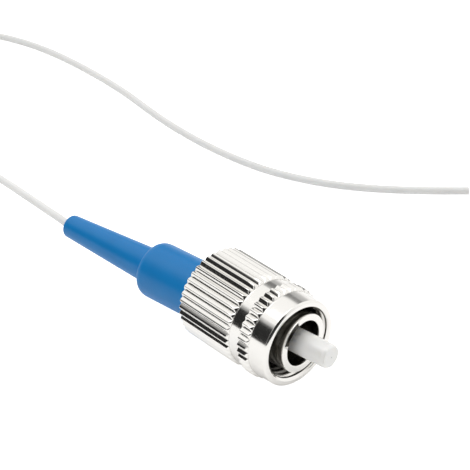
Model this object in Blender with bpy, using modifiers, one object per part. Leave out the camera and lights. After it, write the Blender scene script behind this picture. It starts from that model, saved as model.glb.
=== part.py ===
"""Fibre optic pigtail: a knurled, threaded round connector on a white tight-buffered fibre.

Metres, +Z up. The coupling nut lies on the floor with its axis along X and its open mouth towards +X. The
connector inside it leans a few degrees in the nut's clearance, as it lies. The origin is on the floor under
the middle of the connector's box.
"""

import math

import bmesh
import bpy
from mathutils import Euler, Matrix, Vector

MM = 0.001

# Coupling nut. Distances along its axis are taken back from its mouth.
NUT_LENGTH = 12.14 * MM
KNURL_DEPTH = 0.38 * MM
KNURL_RIDGES = 38
KNURL_CREST = 0.10 * MM
KNURL_GROOVE_BOTTOM = 0.05 * MM
KNURL_CUT_MARGIN = 0.03 * MM
KNURL_END_CHAMFER = 0.20 * MM
RING_STEP = 0.55 * MM
RING_LENGTH = 2.32 * MM
FRONT_KNURL_LENGTH = 1.14 * MM
GROOVE_LENGTH = 1.32 * MM
RIM_CHAMFER = 0.08 * MM
NUT_WALL = 0.96 * MM
MOUTH_RELIEF = 0.02 * MM
THREAD_DEPTH = 0.38 * MM
THREAD_PITCH = 0.75 * MM
THREAD_TURNS = 6
RELIEF_DEPTH = 0.10 * MM
REAR_CHAMFER = 0.30 * MM
REAR_LIP_STEP = 0.27 * MM
REAR_LIP_LENGTH = 1.20 * MM

# How the connector lies in the nut.
LEAN_YAW = math.radians(6.0)
LEAN_PITCH = math.radians(0.5)
SLEEVE_STAND_OUT = 0.20 * MM
SLEEVE_SIDE_SHIFT = 0.42 * MM

# Front sleeve. Distances along the connector's axis are taken from the sleeve's front face.
SLEEVE_ROOM = 0.55 * MM
SLEEVE_WALL = 0.69 * MM
SLEEVE_CHAMFER = 0.14 * MM
FLANGE_START = 6.40 * MM
FLANGE_LENGTH = 1.00 * MM
FLANGE_ROOM = 0.55 * MM
BARREL_STEP = 0.17 * MM
SLEEVE_LENGTH = 10.20 * MM
STOP_LIP_START = 4.20 * MM
STOP_LIP_LENGTH = 0.80 * MM
KEY_WIDTH = 2.00 * MM
KEY_HEIGHT = 0.22 * MM
KEY_START = 0.25 * MM
KEY_LENGTH = 4.50 * MM
KEY_ANGLE = math.radians(-43)

# Ferrule and what holds it.
FERRULE_RADIUS = 1.25 * MM
FERRULE_STAND_OUT = 3.50 * MM
FERRULE_LENGTH = 10.50 * MM
FERRULE_CHAMFER_LENGTH = 0.60 * MM
FERRULE_CHAMFER_DEPTH = 0.30 * MM
HUB_ROOM = 0.18 * MM
HUB_LENGTH = 2.55 * MM
HUB_TAIL_LENGTH = 2.90 * MM
HUB_TAIL_ROOM = 0.30 * MM
FERRULE_TRAVEL = 1.00 * MM
SPRING_ROOM = 0.13 * MM
SPRING_WIRE_RADIUS = 0.15 * MM
SPRING_TURNS = 6

# Rear post and boot.
POST_LENGTH = 10.20 * MM
POST_WALL = 0.30 * MM
POST_BORE_DEPTH = 4.20 * MM
BOOT_GAP_TO_NUT = 0.50 * MM
BOOT_WALL = 0.62 * MM
BOOT_SHOULDER = 20.20 * MM
BOOT_SHOULDER_FILLET = 0.90 * MM
BOOT_SHOULDER_STEP = 1.10 * MM
BOOT_TIP_WALL = 0.66 * MM
BOOT_TIP = 32.90 * MM
BOOT_TIP_FILLET = 0.30 * MM
BOOT_NECK_FILLET = 0.35 * MM
POST_TO_BOOT_DEPTH = 0.20 * MM

# Running and seating clearances.
FIT_CLEARANCE = 0.05 * MM
FIBRE_CLEARANCE = 0.15 * MM
FACE_GAP = 0.05 * MM

# Fibre.
FIBRE_RADIUS = 0.45 * MM
FIBRE_IN_BOOT = 3.00 * MM
TUBE_POINT_SPACING = 2.2 * MM
LEAD_ROUTE_MM = [
    (-20.2, -2.88, 4.56),
    (-23.6, -2.53, 4.23),
    (-27.3, -2.07, 3.80),
    (-31.2, -1.56, 3.30),
    (-35.2, -1.14, 2.80),
    (-39.8, -0.95, 2.22),
    (-45.0, -1.25, 1.60),
    (-50.5, -2.20, 1.08),
    (-56.0, -3.70, 0.75),
    (-61.5, -5.35, 0.65),
    (-66.6, -6.65, 0.80),
]
TAIL_ROUTE_MM = [
    (-82.35, 5.20, 2.75),
    (-82.40, 9.10, 1.85),
    (-81.10, 13.50, 1.05),
    (-78.30, 17.60, 0.60),
    (-74.20, 21.10, 0.45),
    (-69.30, 23.70, 0.45),
    (-63.90, 25.35, 0.45),
    (-58.30, 26.05, 0.45),
    (-52.80, 26.20, 0.45),
    (-47.55, 26.04, 0.45),
    (-43.84, 25.72, 0.45),
    (-39.97, 25.20, 0.45),
    (-36.27, 24.78, 0.45),
    (-32.94, 24.57, 0.45),
    (-28.33, 24.53, 0.45),
    (-22.97, 24.97, 0.45),
    (-18.30, 25.89, 0.45),
    (-14.36, 27.37, 0.45),
    (-10.86, 29.22, 0.45),
    (-7.76, 31.42, 0.45),
    (-4.93, 33.90, 0.45),
    (-1.69, 37.18, 0.45),
    (1.05, 40.21, 0.45),
]

# Coil of the length that is put away, and its ties.
COIL_CENTRE = Vector((-71.6 * MM, 3.0 * MM, 0))
COIL_MID_RADIUS = 7.80 * MM
COIL_COLUMNS = 5
COIL_ROWS = 4
COIL_CORNER = 0.60 * MM
TIE_THICKNESS = 0.25 * MM
TIE_WIDTH = 1.60 * MM
TIE_CLEARANCE = 0.12 * MM
TIE_HEAD_SIZE = Vector((2.2 * MM, 1.8 * MM, 0.9 * MM))
TIE_ANGLES = {"coil_tie_left": math.radians(225), "coil_tie_right": math.radians(45)}

ROUND_STEPS = 40
FINE_MERGE = 1e-7

# Radii that fit one round another, from the fibre and the ferrule outwards.
FIBRE_BORE_RADIUS = FIBRE_RADIUS + FIBRE_CLEARANCE
FERRULE_END_RADIUS = FERRULE_RADIUS - FERRULE_CHAMFER_DEPTH
HUB_TAIL_RADIUS = FERRULE_RADIUS + FIT_CLEARANCE
SPRING_RADIUS = HUB_TAIL_RADIUS + HUB_TAIL_ROOM + SPRING_WIRE_RADIUS
POST_BORE_RADIUS = SPRING_RADIUS + SPRING_WIRE_RADIUS + SPRING_ROOM
POST_RADIUS = POST_BORE_RADIUS + POST_WALL
SLEEVE_BORE_RADIUS = POST_RADIUS + FIT_CLEARANCE
HUB_RADIUS = SLEEVE_BORE_RADIUS - HUB_ROOM
SLEEVE_RADIUS = SLEEVE_BORE_RADIUS + SLEEVE_WALL
BARREL_RADIUS = SLEEVE_RADIUS - BARREL_STEP
KEY_TOP_RADIUS = SLEEVE_RADIUS + KEY_HEIGHT
THREAD_MINOR_RADIUS = SLEEVE_RADIUS + SLEEVE_ROOM
THREAD_MAJOR_RADIUS = THREAD_MINOR_RADIUS + THREAD_DEPTH
MOUTH_RADIUS = THREAD_MAJOR_RADIUS + MOUTH_RELIEF
RELIEF_RADIUS = THREAD_MAJOR_RADIUS + RELIEF_DEPTH
REAR_LIP_RADIUS = THREAD_MINOR_RADIUS - REAR_LIP_STEP
FLANGE_RADIUS = RELIEF_RADIUS - FLANGE_ROOM
KNURL_RADIUS = THREAD_MAJOR_RADIUS + NUT_WALL
KNURL_PITCH = 2 * math.pi * KNURL_RADIUS / KNURL_RIDGES
RING_RADIUS = KNURL_RADIUS - RING_STEP
BOOT_CAVITY_RADIUS = POST_RADIUS + FIT_CLEARANCE
BOOT_RADIUS = BOOT_CAVITY_RADIUS + BOOT_WALL
BOOT_TAPER_RADIUS = BOOT_RADIUS - BOOT_SHOULDER_STEP
BOOT_TIP_RADIUS = FIBRE_BORE_RADIUS + BOOT_TIP_WALL

# Where the nut's mouth stands so that the origin is under the middle of the connector.
LEAN = Euler((0, -LEAN_PITCH, LEAN_YAW)).to_matrix()
AXIS = LEAN @ Vector((1, 0, 0))
FRONT_REACH = SLEEVE_STAND_OUT + FERRULE_STAND_OUT * AXIS.x + FERRULE_END_RADIUS * math.sin(LEAN_YAW)
REAR_REACH = BOOT_TIP * AXIS.x - SLEEVE_STAND_OUT + (BOOT_TIP_RADIUS - BOOT_TIP_FILLET) * math.sin(LEAN_YAW)
MOUTH = Vector(((REAR_REACH - FRONT_REACH) / 2, 0, KNURL_RADIUS))
SLEEVE_FRONT = MOUTH + Vector((SLEEVE_STAND_OUT, SLEEVE_SIDE_SHIFT, 0))

HUB_START = STOP_LIP_START + STOP_LIP_LENGTH + FACE_GAP
HUB_REAR = HUB_START + HUB_LENGTH
POST_START = HUB_REAR + FERRULE_TRAVEL + 4 * FACE_GAP
POST_REAR = POST_START + POST_LENGTH
SPRING_SEAT = POST_START + POST_BORE_DEPTH
BOOT_START = (NUT_LENGTH + BOOT_GAP_TO_NUT + SLEEVE_STAND_OUT) / AXIS.x
BOOT_CAVITY_END = POST_REAR + POST_TO_BOOT_DEPTH

COIL_ROW_RISE = 2 * FIBRE_RADIUS * math.sin(math.radians(60))
COIL_BOTTOM = TIE_THICKNESS + TIE_CLEARANCE
COIL_TOP = COIL_BOTTOM + 2 * FIBRE_RADIUS + (COIL_ROWS - 1) * COIL_ROW_RISE
COIL_HALF_WIDTH = COIL_COLUMNS * FIBRE_RADIUS


def clear_scene():
    for obj in list(bpy.data.objects):
        bpy.data.objects.remove(obj, do_unlink=True)


def new_collection(name):
    collection = bpy.data.collections.new(name)
    bpy.context.scene.collection.children.link(collection)
    return collection


def new_material(name, colour, roughness, metallic):
    material = bpy.data.materials.new(name)
    material.use_nodes = True
    shader = material.node_tree.nodes["Principled BSDF"]
    shader.inputs["Base Color"].default_value = (*colour, 1)
    shader.inputs["Roughness"].default_value = roughness
    shader.inputs["Metallic"].default_value = metallic
    return material


def add_object(name, data, collection, material=None, parent=None):
    obj = bpy.data.objects.new(name, data)
    collection.objects.link(obj)
    obj.parent = parent
    if material:
        data.materials.append(material)
    return obj


def add_empty(name, collection, location, rotation=(0, 0, 0)):
    empty = add_object(name, None, collection)
    empty.location = location
    empty.rotation_euler = rotation
    return empty


def add_cutter(obj, cutter, operation="DIFFERENCE"):
    boolean = obj.modifiers.new(cutter.name, "BOOLEAN")
    boolean.object = cutter
    boolean.operation = operation
    boolean.solver = "EXACT"
    cutter.hide_render = True
    cutter.display_type = "WIRE"


def turned(name, profile, collection, material=None, parent=None, steps=ROUND_STEPS, open_ends=False):
    """A solid turned about its parent's X axis. The profile is (radius, distance along X), front to rear
    down the outside; it closes on itself round a bore, or with open_ends starts and ends on the axis."""
    mesh = bpy.data.meshes.new(name)
    points = [(radius, 0, along) for radius, along in profile]
    edges = [(i, i + 1) for i in range(len(points) - 1)]
    if not open_ends:
        edges.append((len(points) - 1, 0))
    mesh.from_pydata(points, edges, [])
    obj = add_object(name, mesh, collection, material, parent)
    obj.rotation_euler = (0, math.pi / 2, 0)
    screw = obj.modifiers.new("turn", "SCREW")
    screw.angle = 2 * math.pi
    screw.axis = "Z"
    screw.steps = steps
    screw.render_steps = steps
    screw.use_merge_vertices = True
    screw.merge_threshold = FINE_MERGE
    screw.use_smooth_shade = True
    return obj


def arc(centre, radius, start, end, count):
    """Points of a round corner in a profile, angles in degrees from the outward radius towards +X."""
    points = []
    for i in range(count + 1):
        angle = math.radians(start + (end - start) * i / count)
        points.append((centre[0] + radius * math.cos(angle), centre[1] + radius * math.sin(angle)))
    return points


def knurl_band(front, rear, ring_radius):
    """A raised band of the nut's profile, with its two chamfered ends."""
    shoulder = KNURL_RADIUS - KNURL_END_CHAMFER
    return [
        (ring_radius, front),
        (shoulder, front),
        (KNURL_RADIUS, front - KNURL_END_CHAMFER),
        (KNURL_RADIUS, rear + KNURL_END_CHAMFER),
        (shoulder, rear),
        (ring_radius, rear),
    ]


def nut_profile():
    band_start = -RING_LENGTH
    band_end = band_start - FRONT_KNURL_LENGTH
    long_start = band_end - GROOVE_LENGTH
    lead_in = MOUTH_RADIUS - THREAD_MINOR_RADIUS
    thread_end = -(lead_in + THREAD_TURNS * THREAD_PITCH)
    relief_start = thread_end - (RELIEF_RADIUS - THREAD_MINOR_RADIUS)
    lip_front = -(NUT_LENGTH - REAR_LIP_LENGTH)
    outside = [(MOUTH_RADIUS, 0), (RING_RADIUS - RIM_CHAMFER, 0), (RING_RADIUS, -RIM_CHAMFER)]
    outside += knurl_band(band_start, band_end, RING_RADIUS)
    outside += knurl_band(long_start, -NUT_LENGTH, RING_RADIUS)[:4]
    outside += [(KNURL_RADIUS - REAR_CHAMFER, -NUT_LENGTH)]
    inside = [
        (REAR_LIP_RADIUS, -NUT_LENGTH),
        (REAR_LIP_RADIUS, lip_front),
        (RELIEF_RADIUS, lip_front),
        (RELIEF_RADIUS, relief_start),
        (THREAD_MINOR_RADIUS, thread_end),
    ]
    for turn in range(THREAD_TURNS, 0, -1):
        rear = -(lead_in + turn * THREAD_PITCH)
        inside.append((THREAD_MAJOR_RADIUS, rear + THREAD_PITCH / 2))
        inside.append((THREAD_MINOR_RADIUS, rear + THREAD_PITCH))
    return outside + inside


def knurl_cutter(collection, parent):
    """One mesh of straight V grooves with a narrow floor, each between two ridges."""
    mesh = bpy.data.meshes.new("knurl_grooves")
    shape = bmesh.new()
    valley = KNURL_RADIUS - KNURL_DEPTH
    margin = KNURL_DEPTH
    bottom_half = KNURL_GROOVE_BOTTOM / 2
    crest_half = (KNURL_PITCH - KNURL_CREST) / 2
    flare = (crest_half - bottom_half) / KNURL_DEPTH
    top = KNURL_RADIUS + KNURL_CUT_MARGIN
    top_half = crest_half + flare * KNURL_CUT_MARGIN
    length = NUT_LENGTH - RING_LENGTH + 2 * margin
    middle = -(NUT_LENGTH + RING_LENGTH) / 2
    for ridge in range(KNURL_RIDGES):
        bar = bmesh.ops.create_cube(shape, size=1)["verts"]
        for vert in bar:
            is_top = vert.co.z > 0
            half = top_half if is_top else bottom_half
            vert.co = Vector((vert.co.x * length + middle, 2 * vert.co.y * half, top if is_top else valley))
        turn = Matrix.Rotation(2 * math.pi * (ridge + 0.5) / KNURL_RIDGES, 3, "X")
        bmesh.ops.rotate(shape, verts=bar, cent=(0, 0, 0), matrix=turn)
    shape.to_mesh(mesh)
    shape.free()
    return add_object("knurl_grooves", mesh, collection, parent=parent)


def make_nut(parts, cutters, material, parent):
    nut = turned("coupling_nut", nut_profile(), parts, material, parent, steps=2 * KNURL_RIDGES)
    add_cutter(nut, knurl_cutter(cutters, parent))
    return nut


def box_cutter(name, size, centre, collection, parent, angle=0.0):
    """A box whose centre is turned about its parent's X axis."""
    mesh = bpy.data.meshes.new(name)
    shape = bmesh.new()
    bmesh.ops.create_cube(shape, size=1)
    bmesh.ops.scale(shape, vec=size, verts=shape.verts)
    bmesh.ops.translate(shape, vec=centre, verts=shape.verts)
    bmesh.ops.rotate(shape, verts=shape.verts, cent=(0, 0, 0), matrix=Matrix.Rotation(angle, 3, "X"))
    shape.to_mesh(mesh)
    shape.free()
    return add_object(name, mesh, collection, parent=parent)


def make_sleeve(parts, cutters, material, parent):
    lip_rear = -(STOP_LIP_START + STOP_LIP_LENGTH)
    lip_bore = FERRULE_RADIUS + FIBRE_CLEARANCE
    flange_rear = -(FLANGE_START + FLANGE_LENGTH)
    profile = [
        (SLEEVE_BORE_RADIUS + SLEEVE_CHAMFER / 2, 0),
        (SLEEVE_RADIUS - SLEEVE_CHAMFER, 0),
        (SLEEVE_RADIUS, -SLEEVE_CHAMFER),
        (SLEEVE_RADIUS, -FLANGE_START),
        (FLANGE_RADIUS, -FLANGE_START),
        (FLANGE_RADIUS, flange_rear),
        (BARREL_RADIUS, flange_rear),
        (BARREL_RADIUS, -SLEEVE_LENGTH),
        (SLEEVE_BORE_RADIUS, -SLEEVE_LENGTH),
        (SLEEVE_BORE_RADIUS, lip_rear),
        (lip_bore, lip_rear),
        (lip_bore, -STOP_LIP_START),
        (SLEEVE_BORE_RADIUS, -STOP_LIP_START),
        (SLEEVE_BORE_RADIUS, -SLEEVE_CHAMFER / 2),
    ]
    sleeve = turned("key_sleeve", profile, parts, material, parent)
    root = SLEEVE_BORE_RADIUS + (SLEEVE_RADIUS - SLEEVE_BORE_RADIUS) / 2
    size = Vector((KEY_LENGTH, KEY_TOP_RADIUS - root, KEY_WIDTH))
    centre = Vector((-KEY_START - KEY_LENGTH / 2, (KEY_TOP_RADIUS + root) / 2, 0))
    key = box_cutter("alignment_key", size, centre, cutters, parent, KEY_ANGLE)
    add_cutter(sleeve, key, "UNION")
    return sleeve


def make_ferrule(parts, material, parent):
    chamfer_rear = FERRULE_STAND_OUT - FERRULE_CHAMFER_LENGTH
    rear = FERRULE_STAND_OUT - FERRULE_LENGTH
    profile = [
        (0, FERRULE_STAND_OUT),
        (FERRULE_END_RADIUS, FERRULE_STAND_OUT),
        (FERRULE_RADIUS, chamfer_rear),
        (FERRULE_RADIUS, rear),
        (0, rear),
    ]
    return turned("ferrule", profile, parts, material, parent, open_ends=True)


def make_hub(parts, material, parent):
    """The hub is a cup over the ferrule's rear, with a tail that guides the spring."""
    seat_radius = FERRULE_RADIUS + FIT_CLEARANCE
    seat_end = FERRULE_STAND_OUT - FERRULE_LENGTH - FACE_GAP
    tail_end = -(HUB_REAR + HUB_TAIL_LENGTH)
    bore = FIBRE_BORE_RADIUS
    profile = [
        (seat_radius, -HUB_START),
        (HUB_RADIUS, -HUB_START),
        (HUB_RADIUS, -HUB_REAR),
        (HUB_TAIL_RADIUS, -HUB_REAR),
        (HUB_TAIL_RADIUS, tail_end),
        (bore, tail_end),
        (bore, seat_end),
        (seat_radius, seat_end),
    ]
    return turned("ferrule_hub", profile, parts, material, parent)


def make_post(parts, material, parent):
    bore = FIBRE_BORE_RADIUS
    profile = [
        (POST_BORE_RADIUS, -POST_START),
        (POST_RADIUS, -POST_START),
        (POST_RADIUS, -POST_REAR),
        (bore, -POST_REAR),
        (bore, -SPRING_SEAT),
        (POST_BORE_RADIUS, -SPRING_SEAT),
    ]
    return turned("back_post", profile, parts, material, parent)


def make_boot(parts, material, parent):
    cavity = BOOT_CAVITY_RADIUS
    bore = FIBRE_BORE_RADIUS
    fillet = BOOT_SHOULDER_FILLET
    neck = BOOT_NECK_FILLET
    tip = BOOT_TIP_FILLET
    shoulder = arc((BOOT_RADIUS - fillet, -BOOT_SHOULDER + fillet), fillet, 0, -70, 5)
    profile = [
        (cavity, -BOOT_START),
        (BOOT_RADIUS, -BOOT_START),
        *shoulder,
        (BOOT_TAPER_RADIUS + neck / 3, -BOOT_SHOULDER - neck / 3),
        (BOOT_TAPER_RADIUS, -BOOT_SHOULDER - neck),
        *arc((BOOT_TIP_RADIUS - tip, -BOOT_TIP + tip), tip, 0, -90, 3),
        (bore, -BOOT_TIP),
        (bore, -BOOT_CAVITY_END),
        (cavity, -BOOT_CAVITY_END),
    ]
    return turned("boot", profile, parts, material, parent)


def smooth_route(points, spacing):
    """Points at an even spacing on a smooth curve through the route's own points."""
    padded = [2 * points[0] - points[1], *points, 2 * points[-1] - points[-2]]
    fine = []
    for a, b, c, d in zip(padded, padded[1:], padded[2:], padded[3:]):
        for i in range(16):
            t = i / 16
            even = b * 2 + (c - a) * t + (a * 2 - b * 5 + c * 4 - d) * t**2
            fine.append((even + (b * 3 - a - c * 3 + d) * t**3) / 2)
    fine.append(points[-1])
    lengths = [0.0]
    for a, b in zip(fine, fine[1:]):
        lengths.append(lengths[-1] + (b - a).length)
    count = max(2, round(lengths[-1] / spacing))
    route = []
    index = 0
    for i in range(count + 1):
        wanted = lengths[-1] * i / count
        while index < len(fine) - 2 and lengths[index + 1] < wanted:
            index += 1
        part = (wanted - lengths[index]) / max(lengths[index + 1] - lengths[index], 1e-12)
        route.append(fine[index].lerp(fine[index + 1], min(part, 1)))
    return route


def tube(name, route, radius, collection, material, cyclic=False, parent=None):
    curve = bpy.data.curves.new(name, "CURVE")
    curve.dimensions = "3D"
    curve.bevel_depth = radius
    curve.bevel_resolution = 2
    curve.use_fill_caps = not cyclic
    spline = curve.splines.new("POLY")
    spline.points.add(len(route) - 1)
    for point, place in zip(spline.points, route):
        point.co = (*place, 1)
    spline.use_cyclic_u = cyclic
    return add_object(name, curve, collection, material, parent)


def make_spring(parts, material, parent):
    """A coil spring between the hub and the seat in the post."""
    front = -(HUB_REAR + FACE_GAP + SPRING_WIRE_RADIUS)
    rear = -(SPRING_SEAT - FACE_GAP - SPRING_WIRE_RADIUS)
    per_turn = 12
    route = []
    for i in range(SPRING_TURNS * per_turn + 1):
        angle = 2 * math.pi * i / per_turn
        along = front + (rear - front) * i / (SPRING_TURNS * per_turn)
        route.append(Vector((along, SPRING_RADIUS * math.cos(angle), SPRING_RADIUS * math.sin(angle))))
    spring = tube("ferrule_spring", route, SPRING_WIRE_RADIUS, parts, material, parent=parent)
    spring.data.bevel_resolution = 1
    return spring


def lead_route():
    """The fibre from inside the boot's tip to the coil."""
    inside = SLEEVE_FRONT - AXIS * (BOOT_TIP - FIBRE_IN_BOOT)
    leaving = SLEEVE_FRONT - AXIS * BOOT_TIP
    return [inside, leaving, *(Vector(point) * MM for point in LEAD_ROUTE_MM)]


def make_fibre(parts, material):
    lead = smooth_route(lead_route(), TUBE_POINT_SPACING)
    tube("fibre_lead", lead, FIBRE_RADIUS, parts, material)
    tail = smooth_route([Vector(point) * MM for point in TAIL_ROUTE_MM], TUBE_POINT_SPACING)
    tube("fibre_tail", tail, FIBRE_RADIUS, parts, material)


def make_coil(parts, material):
    """The wound length as one turned ring, standing on its ties."""
    inner = COIL_MID_RADIUS - COIL_HALF_WIDTH
    outer = COIL_MID_RADIUS + COIL_HALF_WIDTH
    corner = COIL_CORNER
    profile = [
        (inner + corner, COIL_TOP),
        (outer - corner, COIL_TOP),
        (outer, COIL_TOP - corner),
        (outer, COIL_BOTTOM + corner),
        (outer - corner, COIL_BOTTOM),
        (inner + corner, COIL_BOTTOM),
        (inner, COIL_BOTTOM + corner),
        (inner, COIL_TOP - corner),
    ]
    coil = turned("fibre_coil", profile, parts, material, steps=64)
    coil.rotation_euler = (0, 0, 0)
    coil.location = COIL_CENTRE
    return coil


def outline(curve, half_width, low, high, corner):
    """A closed outline with chamfered corners, across the coil's section."""
    points = []
    for x, y, dx, dy in (
        (half_width, low, -1, 1),
        (half_width, high, -1, -1),
        (-half_width, high, 1, -1),
        (-half_width, low, 1, 1),
    ):
        along = Vector((x + dx * corner, y, 0))
        up = Vector((x, y + dy * corner, 0))
        points += [along, up] if dx * dy < 0 else [up, along]
    spline = curve.splines.new("POLY")
    spline.points.add(len(points) - 1)
    for point, place in zip(spline.points, points):
        point.co = (*place, 1)
    spline.use_cyclic_u = True


def make_tie(name, angle, parts, cutters, material):
    """A band round the coil's section with a small head on top."""
    pivot = add_empty(name + "_place", parts, COIL_CENTRE, (0, 0, angle))
    inner_half = COIL_HALF_WIDTH + TIE_CLEARANCE
    inner_high = COIL_TOP + TIE_CLEARANCE
    outer_half = inner_half + TIE_THICKNESS
    outer_high = inner_high + TIE_THICKNESS
    curve = bpy.data.curves.new(name + "_band", "CURVE")
    curve.dimensions = "2D"
    curve.fill_mode = "BOTH"
    curve.extrude = TIE_WIDTH / 2
    outline(curve, outer_half, 0, outer_high, COIL_CORNER)
    outline(curve, inner_half, TIE_THICKNESS, inner_high, COIL_CORNER - TIE_THICKNESS / 3)
    band = add_object(name + "_band", curve, parts, None, pivot)
    band.location = (COIL_MID_RADIUS, 0, 0)
    band.rotation_euler = (math.pi / 2, 0, 0)
    tie = mesh_from(band, name, parts, material)
    head_centre = Vector((COIL_MID_RADIUS, 0, inner_high + TIE_HEAD_SIZE.z / 2))
    head = box_cutter(name + "_head", TIE_HEAD_SIZE, head_centre, cutters, pivot)
    add_cutter(tie, head, "UNION")
    return tie


def mesh_from(curve_object, name, collection, material):
    """A curve object made a mesh object with its caps welded, in the same place."""
    bpy.context.view_layer.update()
    evaluated = curve_object.evaluated_get(bpy.context.evaluated_depsgraph_get())
    mesh = bpy.data.meshes.new_from_object(evaluated)
    shape = bmesh.new()
    shape.from_mesh(mesh)
    bmesh.ops.remove_doubles(shape, verts=shape.verts, dist=FINE_MERGE)
    shape.to_mesh(mesh)
    shape.free()
    obj = add_object(name, mesh, collection)
    mesh.materials.clear()
    mesh.materials.append(material)
    obj.matrix_world = curve_object.matrix_world.copy()
    bpy.data.objects.remove(curve_object, do_unlink=True)
    return obj


def main():
    clear_scene()
    parts = new_collection("fibre_optic_pigtail")
    cutters = new_collection("cutters")
    nickel = new_material("nickel_plate", (0.78, 0.76, 0.72), 0.22, 1.0)
    steel = new_material("spring_steel", (0.60, 0.60, 0.60), 0.35, 1.0)
    ceramic = new_material("white_ceramic", (0.88, 0.87, 0.84), 0.15, 0.0)
    blue = new_material("blue_boot", (0.02, 0.22, 0.52), 0.45, 0.0)
    white = new_material("white_buffer", (0.85, 0.85, 0.83), 0.40, 0.0)
    nylon = new_material("clear_nylon", (0.80, 0.80, 0.78), 0.35, 0.0)

    nut_axis = add_empty("nut_axis", parts, MOUTH)
    connector_axis = add_empty("connector_axis", parts, SLEEVE_FRONT, (0, -LEAN_PITCH, LEAN_YAW))
    make_nut(parts, cutters, nickel, nut_axis)
    make_sleeve(parts, cutters, nickel, connector_axis)
    make_ferrule(parts, ceramic, connector_axis)
    make_hub(parts, nickel, connector_axis)
    make_spring(parts, steel, connector_axis)
    make_post(parts, nickel, connector_axis)
    make_boot(parts, blue, connector_axis)
    make_fibre(parts, white)
    make_coil(parts, white)
    for name, angle in TIE_ANGLES.items():
        make_tie(name, angle, parts, cutters, nylon)


main()
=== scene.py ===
"""Fibre optic pigtail on a pale floor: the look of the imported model.

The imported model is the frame, so every piece here is in metres in its axes: +X towards the nut's open
mouth, +Z up. Each sub-assembly is a class that holds its sizes and builds and dresses its own pieces.
"""

import logging
import math
import random
from dataclasses import dataclass
from enum import Enum
from typing import Callable, Iterable, Sequence

import bmesh
import bpy
from mathutils import Matrix, Vector


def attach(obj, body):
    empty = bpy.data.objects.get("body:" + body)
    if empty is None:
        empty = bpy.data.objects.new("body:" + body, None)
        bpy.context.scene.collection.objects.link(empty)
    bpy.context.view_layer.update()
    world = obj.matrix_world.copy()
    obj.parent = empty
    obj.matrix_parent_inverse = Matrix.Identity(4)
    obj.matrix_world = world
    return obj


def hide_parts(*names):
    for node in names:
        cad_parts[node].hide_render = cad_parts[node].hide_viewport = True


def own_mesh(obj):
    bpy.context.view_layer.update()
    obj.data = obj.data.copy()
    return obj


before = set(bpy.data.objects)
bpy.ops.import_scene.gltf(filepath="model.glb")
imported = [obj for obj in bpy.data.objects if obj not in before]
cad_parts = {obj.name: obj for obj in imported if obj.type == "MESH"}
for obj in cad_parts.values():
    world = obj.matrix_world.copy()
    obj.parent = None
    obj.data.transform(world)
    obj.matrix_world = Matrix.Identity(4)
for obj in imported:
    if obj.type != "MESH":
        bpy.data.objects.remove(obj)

LOG = logging.getLogger("pigtail")

MM = 0.001
MOUTH = Vector((14.41944, 0.0, 4.96)) * MM
SLEEVE_FRONT = Vector((14.61944, 0.42, 4.96)) * MM
LEAN_YAW = math.radians(6.0)
LEAN_PITCH = math.radians(0.5)

Profile = list[tuple[float, float]]
Rows = list[list[Vector]]


class Body(Enum):
    """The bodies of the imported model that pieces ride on."""

    CONNECTOR = "connector"
    NUT = "nut"
    FERRULE = "ferrule"


class Slot(Enum):
    """The record's material slots."""

    NICKEL = "nickel_plate"
    CERAMIC = "white_ceramic"
    SPRING = "spring_steel"
    BOOT = "blue_boot"
    BUFFER = "white_buffer"
    NYLON = "clear_nylon"


def smooth_step(value: float) -> float:
    """Returns value eased from 0 to 1, and held at either end."""
    held = min(max(value, 0.0), 1.0)
    return held * held * (3 - 2 * held)


@dataclass(frozen=True)
class Axis:
    """A line that turned pieces are made about."""

    origin: Vector
    turn: Matrix

    def point(self, along: float, radius: float, angle: float) -> Vector:
        """Returns the place at this distance along the line, radius and angle from its own +Y."""
        local = Vector((along, radius * math.cos(angle), radius * math.sin(angle)))
        return self.origin + self.turn @ local

    def direction(self) -> Vector:
        """Returns the line's forward direction."""
        return self.turn @ Vector((1, 0, 0))


NUT_AXIS = Axis(MOUTH, Matrix.Identity(3))
CONNECTOR_AXIS = Axis(
    SLEEVE_FRONT,
    Matrix.Rotation(LEAN_YAW, 3, "Z") @ Matrix.Rotation(-LEAN_PITCH, 3, "Y"),
)


@dataclass(frozen=True)
class Corner:
    """A corner of a turned outline, in metres, with the size of its rounding."""

    along: float
    radius: float
    soft: float = 0.0


def soft_outline(corners: Sequence[Corner], closed: bool, steps: int = 5) -> Profile:
    """Rounds the corners of an outline.

    Args:
        corners: The sharp corners in order.
        closed: Whether the last corner joins the first.
        steps: How many lengths each rounding is made of.

    Returns:
        Places along the outline as (along, radius).
    """
    places: Profile = []
    count = len(corners)
    for index, corner in enumerate(corners):
        here = Vector((corner.along, corner.radius))
        is_end = not closed and index in (0, count - 1)
        if is_end or corner.soft <= 0:
            places.append((here.x, here.y))
            continue
        before = corners[index - 1]
        after = corners[(index + 1) % count]
        back = Vector((before.along, before.radius)) - here
        ahead = Vector((after.along, after.radius)) - here
        start = here + back.normalized() * min(corner.soft, back.length * 0.48)
        end = here + ahead.normalized() * min(corner.soft, ahead.length * 0.48)
        for step in range(steps + 1):
            part = step / steps
            place = start * (1 - part) ** 2 + here * 2 * part * (1 - part) + end * part**2
            places.append((place.x, place.y))
    return places


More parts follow.
